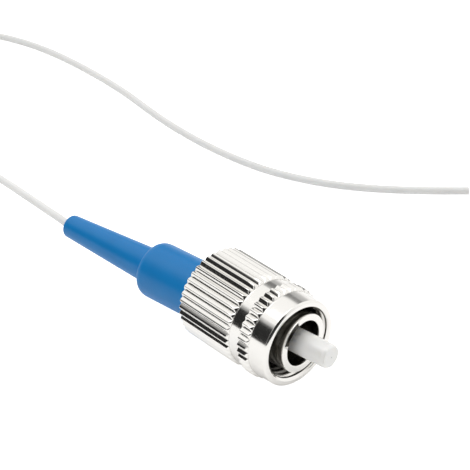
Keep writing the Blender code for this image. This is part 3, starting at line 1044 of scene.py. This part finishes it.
@dataclass
class Ferrule:
    """The ceramic ferrule with its chamfered, slightly domed end and the glass in its middle."""

    radius: float = 1.25 * MM
    stand_out: float = 3.50 * MM
    length: float = 10.50 * MM
    chamfer_length: float = 0.36 * MM
    end_radius: float = 1.10 * MM
    dome: float = 0.02 * MM
    glass_radius: float = 0.0625 * MM
    glass_depth: float = 0.10 * MM
    glass_lift: float = 0.004 * MM
    end_edge: float = 0.05 * MM
    shoulder_edge: float = 0.12 * MM
    rear_chamfer: tuple[float, float] = (0.20 * MM, 0.15 * MM)
    columns: int = 128

    def build(self, finishes: Finishes) -> list[bpy.types.Object]:
        """Makes the ferrule and its glass.

        Args:
            finishes: The pigtail's materials.

        Returns:
            Both pieces, riding on the ferrule's body.
        """
        rear = self.stand_out - self.length
        chamfer = self.stand_out - self.chamfer_length
        outline = [
            (self.stand_out, self.glass_radius * 0.5),
            (self.stand_out - self.dome * 0.3, self.end_radius * 0.6),
        ]
        outline += soft_outline(
            [
                Corner(self.stand_out - self.dome * 0.5, self.end_radius * 0.8),
                Corner(self.stand_out - self.dome, self.end_radius, self.end_edge),
                Corner(chamfer, self.radius, self.shoulder_edge),
                Corner(rear + self.rear_chamfer[0], self.radius, self.end_edge),
                Corner(rear, self.radius - self.rear_chamfer[1], self.end_edge),
                Corner(rear, self.radius * 0.4),
            ],
            False,
            6,
        )
        body = MeshBuilder.turned("ferrule_body", outline, CONNECTOR_AXIS, self.columns, False)
        dress(body, finishes.ceramic, Slot.CERAMIC, Body.FERRULE, "ferrule")
        front = self.stand_out + self.glass_lift
        back = self.stand_out - self.glass_depth
        tip = soft_outline(
            [
                Corner(front, 0.2 * self.glass_radius),
                Corner(front, self.glass_radius, self.glass_lift),
                Corner(back, self.glass_radius),
                Corner(back, 0.2 * self.glass_radius),
            ],
            False,
        )
        glass = MeshBuilder.turned("ferrule_glass", tip, CONNECTOR_AXIS, 24, False)
        dress(glass, finishes.glass, Slot.CERAMIC, Body.FERRULE)
        return [body, glass]


@dataclass
class Boot:
    """The moulded boot: a straight barrel, a rounded shoulder and a long taper to the fibre."""

    start: float = 12.911 * MM
    radius: float = 3.00 * MM
    cavity: float = 2.38 * MM
    cavity_end: float = 19.20 * MM
    shoulder: float = 20.20 * MM
    shoulder_fillet: float = 0.95 * MM
    taper_radius: float = 1.90 * MM
    tip: float = 32.90 * MM
    tip_radius: float = 1.26 * MM
    bore: float = 0.60 * MM
    cavity_edge: float = 0.05 * MM
    front_fillet: float = 0.12 * MM
    step: float = 0.05 * MM
    step_fillet: float = 0.35 * MM
    tip_fillet: float = 0.32 * MM
    bore_edge: float = 0.06 * MM
    columns: int = 160

    def outline(self) -> Profile:
        """Draws the boot's outline.

        Returns:
            Its places, front to rear outside and back through the bore.
        """
        corners = [
            Corner(-self.start, self.cavity, self.cavity_edge),
            Corner(-self.start, self.radius, self.front_fillet),
            Corner(-self.shoulder, self.radius, self.shoulder_fillet),
            Corner(-self.shoulder - self.step, self.taper_radius, self.step_fillet),
            Corner(-self.tip, self.tip_radius, self.tip_fillet),
            Corner(-self.tip, self.bore, self.bore_edge),
            Corner(-self.cavity_end, self.bore),
            Corner(-self.cavity_end, self.cavity),
        ]
        return soft_outline(corners, True, 10)

    def build(self, finishes: Finishes) -> bpy.types.Object:
        """Makes the boot.

        Args:
            finishes: The pigtail's materials.

        Returns:
            The boot, riding on the connector.
        """
        boot = MeshBuilder.turned("boot_body", self.outline(), CONNECTOR_AXIS, self.columns, True)
        return dress(boot, finishes.boot, Slot.BOOT, Body.CONNECTOR, "boot")


LEAD_ROUTE_MM = (
    (-20.2, -2.88, 4.56),
    (-23.6, -2.53, 4.23),
    (-27.3, -2.07, 3.80),
    (-31.2, -1.56, 3.30),
    (-35.2, -1.14, 2.80),
    (-39.8, -0.95, 2.22),
    (-45.0, -1.25, 1.60),
    (-50.5, -2.20, 1.08),
    (-56.0, -3.70, 0.75),
    (-61.5, -5.35, 0.65),
    (-66.6, -6.65, 0.80),
)
TAIL_ROUTE_MM = (
    (-82.35, 5.20, 2.75),
    (-82.40, 9.10, 1.85),
    (-81.10, 13.50, 1.05),
    (-78.30, 17.60, 0.60),
    (-74.20, 21.10, 0.45),
    (-69.30, 23.70, 0.45),
    (-63.90, 25.35, 0.45),
    (-58.30, 26.05, 0.45),
    (-52.80, 26.20, 0.45),
    (-47.55, 26.04, 0.45),
    (-43.84, 25.72, 0.45),
    (-39.97, 25.20, 0.45),
    (-36.27, 24.78, 0.45),
    (-32.94, 24.57, 0.45),
    (-28.33, 24.53, 0.45),
    (-22.97, 24.97, 0.45),
    (-18.30, 25.89, 0.45),
    (-14.36, 27.37, 0.45),
    (-10.86, 29.22, 0.45),
    (-7.76, 31.42, 0.45),
    (-4.93, 33.90, 0.45),
    (-1.69, 37.18, 0.45),
    (1.05, 40.21, 0.45),
)


TAIL_END_DIRECTION = Vector((0.666085, 0.745876, 0.0))
COIL_CENTRE = Vector((-71.6, 3.0, 0.0)) * MM


def smooth_line(points: Sequence[Vector], spacing: float) -> list[Vector]:
    """Reads evenly spaced places from a smooth curve through points.

    Args:
        points: The route's own points.
        spacing: The wanted distance between places.

    Returns:
        The places, from the first point to the last.
    """
    padded = [2 * points[0] - points[1], *points, 2 * points[-1] - points[-2]]
    fine: list[Vector] = []
    for before, start, end, after in zip(padded, padded[1:], padded[2:], padded[3:]):
        for step in range(12):
            part = step / 12
            even = start * 2 + (end - before) * part + (before * 2 - start * 5 + end * 4 - after) * part**2
            fine.append((even + (start * 3 - before - end * 3 + after) * part**3) / 2)
    fine.append(points[-1])
    lengths = [0.0]
    for start, end in zip(fine, fine[1:]):
        lengths.append(lengths[-1] + (end - start).length)
    count = max(2, round(lengths[-1] / spacing))
    places = []
    index = 0
    for step in range(count + 1):
        wanted = lengths[-1] * step / count
        while index < len(fine) - 2 and lengths[index + 1] < wanted:
            index += 1
        part = (wanted - lengths[index]) / max(lengths[index + 1] - lengths[index], 1e-12)
        places.append(fine[index].lerp(fine[index + 1], min(part, 1.0)))
    return places


@dataclass
class FibreCoil:
    """How the put-away length is wound: nested rows of turns, clockwise from above."""

    centre: Vector
    middle: float = 7.80 * MM
    pitch: float = 0.90 * MM
    rise: float = 0.7794 * MM
    bottom: float = 0.82 * MM
    hump: float = 0.121 * MM
    start_angle: float = -105.0
    side_window: tuple[float, float] = (135.0, 195.0)
    row_window: tuple[float, float] = (65.0, 125.0)
    leave: float = 37.0
    step: float = 9.0

    def slots(self) -> list[tuple[float, float, int]]:
        """Lists the turns in the order they are wound.

        Returns:
            Each turn's (radius, height, row).
        """
        wide = [self.middle + self.pitch * place for place in (2, 1, 0, -1, -2)]
        nested = [self.middle + self.pitch * place for place in (-1.5, -0.5, 0.5, 1.5)]
        order = []
        for row, radii in enumerate((wide, nested, wide, nested)):
            order += [(radius, self.bottom + row * self.rise, row) for radius in radii]
        return order

    def place(self, radius: float, height: float, travel: float) -> Vector:
        """Returns the point at this radius and height after this much clockwise travel, in degrees."""
        angle = math.radians(self.start_angle - travel)
        return self.centre + Vector((radius * math.cos(angle), radius * math.sin(angle), height))

    def turns(self) -> list[Vector]:
        """Winds every turn.

        Returns:
            Points along the turns, at an even angle.
        """
        order = self.slots()
        last = len(order) - 1
        end = 360.0 * last + self.leave
        count = round(end / self.step)
        points = []
        for index in range(count + 1):
            travel = end * index / count
            lap = int(travel // 360)
            within = travel - 360 * lap
            radius, height, row = order[lap]
            side = smooth_step((within - self.side_window[0]) / (self.side_window[1] - self.side_window[0]))
            if lap < last:
                onward = order[lap + 1]
                window = self.side_window if onward[2] == row else self.row_window
                part = smooth_step((within - window[0]) / (window[1] - window[0]))
                radius += (onward[0] - radius) * part
                height += (onward[1] - height) * part
                row += (onward[2] - row) * part
            height += self.hump * row * 4 * side * (1 - side)
            points.append(self.place(radius, height, travel))
        return points


@dataclass
class PigtailFibre:
    """The whole fibre: out of the boot, down to the floor, round its coil and across to its cut end."""

    radius: float = 0.45 * MM
    length: float = 1.0
    boot_tip: float = 32.90 * MM
    in_boot: float = 3.00 * MM
    glass_radius: float = 0.0625 * MM
    glass_depth: float = 0.20 * MM
    glass_lift: float = 0.01 * MM
    spacing: float = 1.25 * MM

    def line(self) -> list[Vector]:
        """Draws the fibre's centreline.

        Returns:
            Its places, from inside the boot to the cut end.
        """
        axis = CONNECTOR_AXIS.direction()
        lead = [SLEEVE_FRONT - axis * (self.boot_tip - self.in_boot), SLEEVE_FRONT - axis * self.boot_tip]
        lead += [Vector(point) * MM for point in LEAD_ROUTE_MM]
        coil = FibreCoil(COIL_CENTRE)
        enter = [coil.place(radius * MM, height * MM, travel) for travel, radius, height in self.entry()]
        leave = [coil.place(radius * MM, height * MM, travel) for travel, radius, height in self.exit()]
        tail = [Vector(point) * MM for point in TAIL_ROUTE_MM]
        return smooth_line([*lead, *enter, *coil.turns(), *leave, *tail], self.spacing)

    @staticmethod
    def entry() -> tuple[tuple[float, float, float], ...]:
        """Returns (travel, radius, height) where the lead draws in to the first turn, in degrees and mm."""
        return ((-32.0, 10.52, 0.81), (-21.0, 10.08, 0.82), (-10.0, 9.74, 0.82))

    @staticmethod
    def exit() -> tuple[tuple[float, float, float], ...]:
        """Lifts the tail over the last turn.

        Returns:
            Each place's (travel, radius, height), in degrees and mm.
        """
        last = 360.0 * 17
        return (
            (last + 46.0, 9.27, 3.24),
            (last + 56.0, 9.60, 3.31),
            (last + 66.0, 10.05, 3.17),
            (last + 76.0, 10.50, 2.98),
        )

    def build(self, finishes: Finishes, on_it: Sequence[bpy.types.Object]) -> bpy.types.Object:
        """Args:
            finishes: The pigtail's materials.
            on_it: The ties and the glass at its end; not used.

        Returns:
            The fibre, riding on the connector.
        """
        places = self.line()
        curve = bpy.data.curves.new("fibre", "CURVE")
        curve.dimensions = "3D"
        curve.bevel_depth = self.radius
        curve.bevel_resolution = 6
        curve.use_fill_caps = True
        spline = curve.splines.new("POLY")
        spline.points.add(len(places) - 1)
        for point, place in zip(spline.points, places):
            point.co = (*place, 1)
        spline.use_smooth = True
        fibre = bpy.data.objects.new("fibre", curve)
        bpy.context.scene.collection.objects.link(fibre)
        dress(fibre, finishes.buffer, Slot.BUFFER, Body.CONNECTOR, "fibre_lead", "fibre_coil", "fibre_tail")
        total = sum((end - start).length for start, end in zip(places, places[1:]))
        LOG.info("the fibre's line is %.3f m long", total)
        return fibre

    def end_glass(self, finishes: Finishes) -> bpy.types.Object:
        """Makes the glass that shows in the cut end.

        Args:
            finishes: The pigtail's materials.

        Returns:
            The glass, riding on the connector.
        """
        end = Vector(TAIL_ROUTE_MM[-1]) * MM
        turn = Vector((1, 0, 0)).rotation_difference(TAIL_END_DIRECTION).to_matrix()
        lift, back = self.glass_lift, -self.glass_depth
        outline = soft_outline(
            [
                Corner(lift, 0.2 * self.glass_radius),
                Corner(lift, self.glass_radius, lift / 2),
                Corner(back, self.glass_radius),
                Corner(back, 0.2 * self.glass_radius),
            ],
            False,
        )
        glass = MeshBuilder.turned("cut_end_glass", outline, Axis(end, turn), 24, False)
        return dress(glass, finishes.glass, Slot.BUFFER, Body.CONNECTOR)


@dataclass
class CoilTie:
    """A nylon tie round the coil, with its head on top and its trimmed end."""

    name: str
    node: str
    angle: float
    centre: Vector
    coil_middle: float = 7.80 * MM
    half_width: float = 2.37 * MM
    low: float = 0.25 * MM
    high: float = 3.728 * MM
    corner: float = 0.60 * MM
    thickness: float = 0.25 * MM
    width: float = 1.60 * MM
    edge: float = 0.06 * MM
    head: tuple[float, float, float] = (2.2 * MM, 1.8 * MM, 0.9 * MM)
    head_edge: float = 0.14 * MM
    window: tuple[float, float, float] = (0.9 * MM, 0.9 * MM, 0.12 * MM)
    window_lift: float = 0.02 * MM
    window_edge: float = 0.04 * MM
    tail: tuple[float, float, float] = (1.2 * MM, 1.28 * MM, 0.22 * MM)
    tail_lift: float = 0.42 * MM
    tail_out: float = 0.45 * MM
    tail_droop: float = math.radians(-8)
    tail_edge: float = 0.05 * MM

    def spin(self) -> Matrix:
        """Returns the turn from +X to where the tie lies on the coil."""
        return Matrix.Rotation(self.angle, 3, "Z")

    def world(self, out: float, across: float, height: float) -> Vector:
        """Returns a place from its distance out from the coil's middle turn, across the tie and up."""
        return self.centre + self.spin() @ Vector((self.coil_middle + out, across, height))

    def loop(self) -> list[tuple[float, float, float, float]]:
        """Draws the band's loop round the coil's section.

        Returns:
            Each place's (out, height, normal's share out, normal's share up), once round.
        """
        places = []
        for sign_out, sign_up, start in ((1, -1, -90), (1, 1, 0), (-1, 1, 90), (-1, -1, 180)):
            middle_out = sign_out * (self.half_width - self.corner)
            middle_up = (self.high if sign_up > 0 else self.low) - sign_up * self.corner
            for step in range(7):
                turn = math.radians(start + 90 * step / 6)
                normal = (math.cos(turn), math.sin(turn))
                out = middle_out + self.corner * normal[0]
                places.append((out, middle_up + self.corner * normal[1], *normal))
        return places

    def band(self) -> bpy.types.Object:
        """Makes the band as a closed strip with rounded edges.

        Returns:
            The band.
        """
        half, edge = self.width / 2, self.edge
        section = [
            (-half, edge),
            (-half + edge, 0.0),
            (-half * 0.4, 0.0),
            (half * 0.4, 0.0),
            (half - edge, 0.0),
            (half, edge),
            (half, self.thickness - edge),
            (half - edge, self.thickness),
            (half * 0.4, self.thickness),
            (-half * 0.4, self.thickness),
            (-half + edge, self.thickness),
            (-half, self.thickness - edge),
        ]
        rows = []
        for out, height, normal_out, normal_up in self.loop():
            row = []
            for across, lift in section:
                row.append(self.world(out + lift * normal_out, across, height + lift * normal_up))
            rows.append(row)
        return MeshBuilder.skin(self.name, rows, True)

    def block(
        self, name: str, middle: Vector, size: Sequence[float], tilt: float, soft: float
    ) -> bpy.types.Object:
        """Makes a bevelled block at a place of the tie's own frame.

        Args:
            name: The new object's name.
            middle: Its centre as (out, across, up).
            size: Its size in the same order.
            tilt: Its turn about the across direction, in radians.
            soft: The width of its bevel.

        Returns:
            The block.
        """
        mesh = bpy.data.meshes.new(name)
        shape = bmesh.new()
        bmesh.ops.create_cube(shape, size=1)
        bmesh.ops.scale(shape, vec=Vector(size), verts=shape.verts)
        bmesh.ops.bevel(shape, geom=shape.edges[:], offset=soft, segments=3, affect="EDGES", profile=0.5)
        bmesh.ops.rotate(shape, verts=shape.verts, cent=(0, 0, 0), matrix=Matrix.Rotation(tilt, 3, "Y"))
        for vert in shape.verts:
            local = vert.co + middle
            vert.co = self.world(local.x, local.y, local.z)
        shape.to_mesh(mesh)
        shape.free()
        mesh.shade_smooth()
        obj = bpy.data.objects.new(name, mesh)
        bpy.context.scene.collection.objects.link(obj)
        MeshBuilder.even_shading(obj)
        return obj

    def build(self, finishes: Finishes) -> list[bpy.types.Object]:
        """Makes the tie.

        Args:
            finishes: The pigtail's materials.

        Returns:
            The band, its head and its trimmed end, riding on the connector.
        """
        top = self.high + self.head[2] / 2
        head = self.block(self.name + "_head", Vector((0, 0, top)), self.head, 0.0, self.head_edge)
        slot = Vector((0.0, 0, self.high + self.head[2] + self.window_lift))
        tongue = self.block(self.name + "_window", slot, self.window, 0.0, self.window_edge)
        end = Vector((self.head[0] / 2 + self.tail_out, 0, self.high + self.tail_lift))
        stub = self.block(self.name + "_end", end, self.tail, self.tail_droop, self.tail_edge)
        dress(self.band(), finishes.nylon, Slot.NYLON, Body.CONNECTOR, self.node)
        pieces = [bpy.data.objects[self.name], head, tongue, stub]
        for piece in pieces[1:]:
            dress(piece, finishes.nylon, Slot.NYLON, Body.CONNECTOR)
        return pieces


class HiddenPieces:
    """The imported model's pieces inside the connector, which keep their own shapes."""

    @staticmethod
    def dress(finishes: Finishes) -> None:
        """Gives each its finish.

        Args:
            finishes: The pigtail's materials.
        """
        looks = {"ferrule_hub": finishes.sleeve_nickel, "back_post": finishes.sleeve_nickel}
        for name, material in looks.items():
            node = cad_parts[name]
            node.data.materials.clear()
            node.data.materials.append(material)
            LOG.info("%s keeps its packed shape", name)


@dataclass
class FerruleSpring:
    """The wound spring behind the hub, which shortens as the ferrule is pushed in; here it is built at one
    length.
    """

    turns: int = 6
    wire: float = 0.15 * MM
    travel: float = 1.00 * MM
    steps: int = 24
    sides: int = 8

    def extent(self) -> tuple[float, float, float]:
        """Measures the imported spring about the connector's axis.

        Returns:
            The front, the rear and the radius of its wire's middle line.
        """
        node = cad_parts["ferrule_spring"]
        back = CONNECTOR_AXIS.turn.inverted()
        places = [back @ (node.matrix_world @ vert.co - SLEEVE_FRONT) for vert in node.data.vertices]
        outer = max(math.hypot(place.y, place.z) for place in places)
        front = max(place.x for place in places)
        rear = min(place.x for place in places)
        return front - self.wire, rear + self.wire, outer - self.wire

    def build(self, finishes: Finishes) -> bpy.types.Object:
        """Makes the spring.

        Args:
            finishes: The pigtail's materials.

        Returns:
            The spring, riding on the connector.
        """
        front, rear, radius = self.extent()
        count = self.turns * self.steps
        rows: Rows = []
        for step in range(count + 1):
            angle = 2 * math.pi * self.turns * step / count
            along = front + (rear - front) * step / count
            row = []
            for side in range(self.sides):
                around = 2 * math.pi * side / self.sides
                ahead, out = self.wire * math.sin(around), self.wire * math.cos(around)
                row.append(CONNECTOR_AXIS.point(along + ahead, radius + out, angle))
            rows.append(row)
        spring = MeshBuilder.skin("spring_turns", rows, False)
        dress(spring, finishes.spring, Slot.SPRING, Body.CONNECTOR, "ferrule_spring")
        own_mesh(spring)
        return spring


@dataclass
class PhotoCamera:
    """The camera at the photograph's place, fitted to the nut's and the sleeve's edges."""

    azimuth: float = math.radians(48.2)
    elevation: float = math.radians(32.1)
    aside: float = -6.19 * MM
    above: float = 10.56 * MM
    distance: float = 164.41 * MM
    focal_pixels: float = 1700.0
    frame_pixels: float = 470.0
    sensor: float = 36.0

    def build(self) -> bpy.types.Object:
        """Makes the scene's camera.

        Returns:
            The camera.
        """
        flat = math.cos(self.elevation)
        east, north = math.cos(self.azimuth), math.sin(self.azimuth)
        right = Vector((east, north, 0))
        back = Vector((north * flat, -east * flat, math.sin(self.elevation)))
        up = back.cross(right)
        data = bpy.data.cameras.new("photo_camera")
        data.sensor_width = self.sensor
        data.sensor_fit = "HORIZONTAL"
        data.lens = self.sensor * self.focal_pixels / self.frame_pixels
        data.clip_start = 0.01
        data.clip_end = 20.0
        camera = bpy.data.objects.new("photo_camera", data)
        place = MOUTH + right * self.aside + up * self.above + back * self.distance
        turn = Matrix((right, up, back)).transposed()
        camera.matrix_world = Matrix.Translation(place) @ turn.to_4x4()
        bpy.context.scene.collection.objects.link(camera)
        bpy.context.scene.camera = camera
        return camera


@dataclass(frozen=True)
class SkyPatch:
    """A darker part of the studio: where it lies, how far it reaches and how light it is left."""

    azimuth: float
    elevation: float
    reach: float
    edge: float
    light: float

    def toward(self) -> Vector:
        """Finds the direction to its middle, with azimuth counted from +X towards +Y.

        Returns:
            The direction, one long.
        """
        azimuth, elevation = math.radians(self.azimuth), math.radians(self.elevation)
        flat = math.cos(elevation)
        return Vector((flat * math.cos(azimuth), flat * math.sin(azimuth), math.sin(elevation)))


@dataclass
class Studio:
    """The floor, the surroundings that the metal reflects and the lamps."""

    floor_size: float = 3.0
    floor_seen: float = 0.9
    floor_cast: float = 0.22
    sky_light: float = 1.05
    lamp_place: tuple[float, float, float] = (-0.05, -0.10, 0.60)
    lamp_size: float = 0.5
    lamp_power: float = 1.2
    patches: tuple[SkyPatch, ...] = (
        SkyPatch(-131.0, 14.0, 19.0, 11.0, 0.02),
        SkyPatch(-38.0, 28.0, 32.0, 9.0, 0.03),
        SkyPatch(-38.0, 15.0, 30.0, 45.0, 0.72),
        SkyPatch(137.0, 30.0, 7.0, 3.5, 0.36),
        SkyPatch(132.5, 20.0, 4.0, 15.0, 0.45),
    )

    def sky(self) -> None:
        """Makes the surroundings: light with darker patches, and plain where the camera sees them."""
        world = bpy.data.worlds.new("studio_surroundings")
        world.use_nodes = True
        bpy.context.scene.world = world
        nodes = NodeBuilder(world.node_tree)
        background = world.node_tree.nodes["Background"]
        toward = nodes.add("ShaderNodeTexCoord").outputs["Generated"]
        light: bpy.types.NodeSocket | float = 1.0
        for patch in self.patches:
            dot = nodes.add("ShaderNodeVectorMath", operation="DOT_PRODUCT")
            nodes.join(toward, dot.inputs[0])
            dot.inputs[1].default_value = patch.toward()
            outer = math.cos(math.radians(patch.reach + patch.edge))
            inner = math.cos(math.radians(patch.reach))
            shade = nodes.span(dot.outputs["Value"], outer, inner, 1.0, patch.light)
            light = nodes.math("MULTIPLY", shade, light)
        seen = nodes.add("ShaderNodeLightPath").outputs["Is Camera Ray"]
        lit = nodes.math("MAXIMUM", light, seen)
        nodes.join(nodes.math("MULTIPLY", lit, self.sky_light), background.inputs["Strength"])
        background.inputs["Color"].default_value = (1.0, 0.995, 0.985, 1)

    def floor(self) -> bpy.types.Object:
        """Makes the pale floor.

        Returns:
            The floor.
        """
        half = self.floor_size / 2
        corners = [(-half, -half, 0.0), (half, -half, 0.0), (half, half, 0.0), (-half, half, 0.0)]
        mesh = bpy.data.meshes.new("studio_floor")
        mesh.from_pydata(corners, [], [(0, 1, 2, 3)])
        floor = bpy.data.objects.new("studio_floor", mesh)
        bpy.context.scene.collection.objects.link(floor)
        material, nodes, shader = new_shader("pale_floor")
        place = nodes.add("ShaderNodeTexCoord").outputs["Object"]
        cloud = nodes.noise(place, 8.0, 2.0)
        shade = nodes.mix(cloud, (0.85, 0.85, 0.85, 1), (0.83, 0.83, 0.83, 1))
        nodes.join(shade, shader.inputs["Base Color"])
        shader.inputs["Roughness"].default_value = 0.9
        shader.inputs["Specular IOR Level"].default_value = 0.1
        seen = nodes.add("ShaderNodeLightPath").outputs["Is Camera Ray"]
        glow = nodes.add("ShaderNodeMix", data_type="RGBA")
        nodes.join(seen, glow.inputs[0])
        glow.inputs[6].default_value = (self.floor_cast, self.floor_cast, self.floor_cast, 1)
        glow.inputs[7].default_value = (self.floor_seen, self.floor_seen, self.floor_seen, 1)
        nodes.join(glow.outputs[2], shader.inputs["Emission Color"])
        shader.inputs["Emission Strength"].default_value = 1.0
        mesh.materials.append(material)
        return floor

    @staticmethod
    def lamp(name: str, place: Vector, size: float, power: float, target: Vector) -> bpy.types.Object:
        """Makes a square area lamp.

        Args:
            name: The lamp's name.
            place: Where it stands.
            size: Its side in metres.
            power: Its power in watts.
            target: What it points at.

        Returns:
            The lamp.
        """
        data = bpy.data.lights.new(name, "AREA")
        data.size = size
        data.energy = power
        lamp = bpy.data.objects.new(name, data)
        lamp.location = place
        lamp.rotation_euler = (target - place).to_track_quat("-Z", "Y").to_euler()
        bpy.context.scene.collection.objects.link(lamp)
        return lamp

    def build(self) -> None:
        """Makes the whole studio."""
        self.sky()
        self.floor()
        bpy.context.scene.view_settings.view_transform = "Standard"
        target = Vector((0, 0, MOUTH.z))
        self.lamp("overhead_softbox", Vector(self.lamp_place), self.lamp_size, self.lamp_power, target)


def main() -> None:
    """Builds and dresses the pigtail in its studio."""
    logging.basicConfig(level=logging.INFO, format="%(name)s: %(message)s")
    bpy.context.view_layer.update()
    PhotoCamera().build()
    finishes = Finishes()
    fibre = PigtailFibre()
    on_fibre = [
        *CoilTie("tie_left", "coil_tie_left", math.radians(225), COIL_CENTRE).build(finishes),
        *CoilTie("tie_right", "coil_tie_right", math.radians(45), COIL_CENTRE).build(finishes),
        fibre.end_glass(finishes),
    ]
    fibre.build(finishes, on_fibre)
    CouplingNut().build(finishes)
    KeySleeve().build(finishes)
    Ferrule().build(finishes)
    Boot().build(finishes)
    FerruleSpring().build(finishes)
    HiddenPieces.dress(finishes)
    Studio().build()


if __name__ == "__main__":
    main()
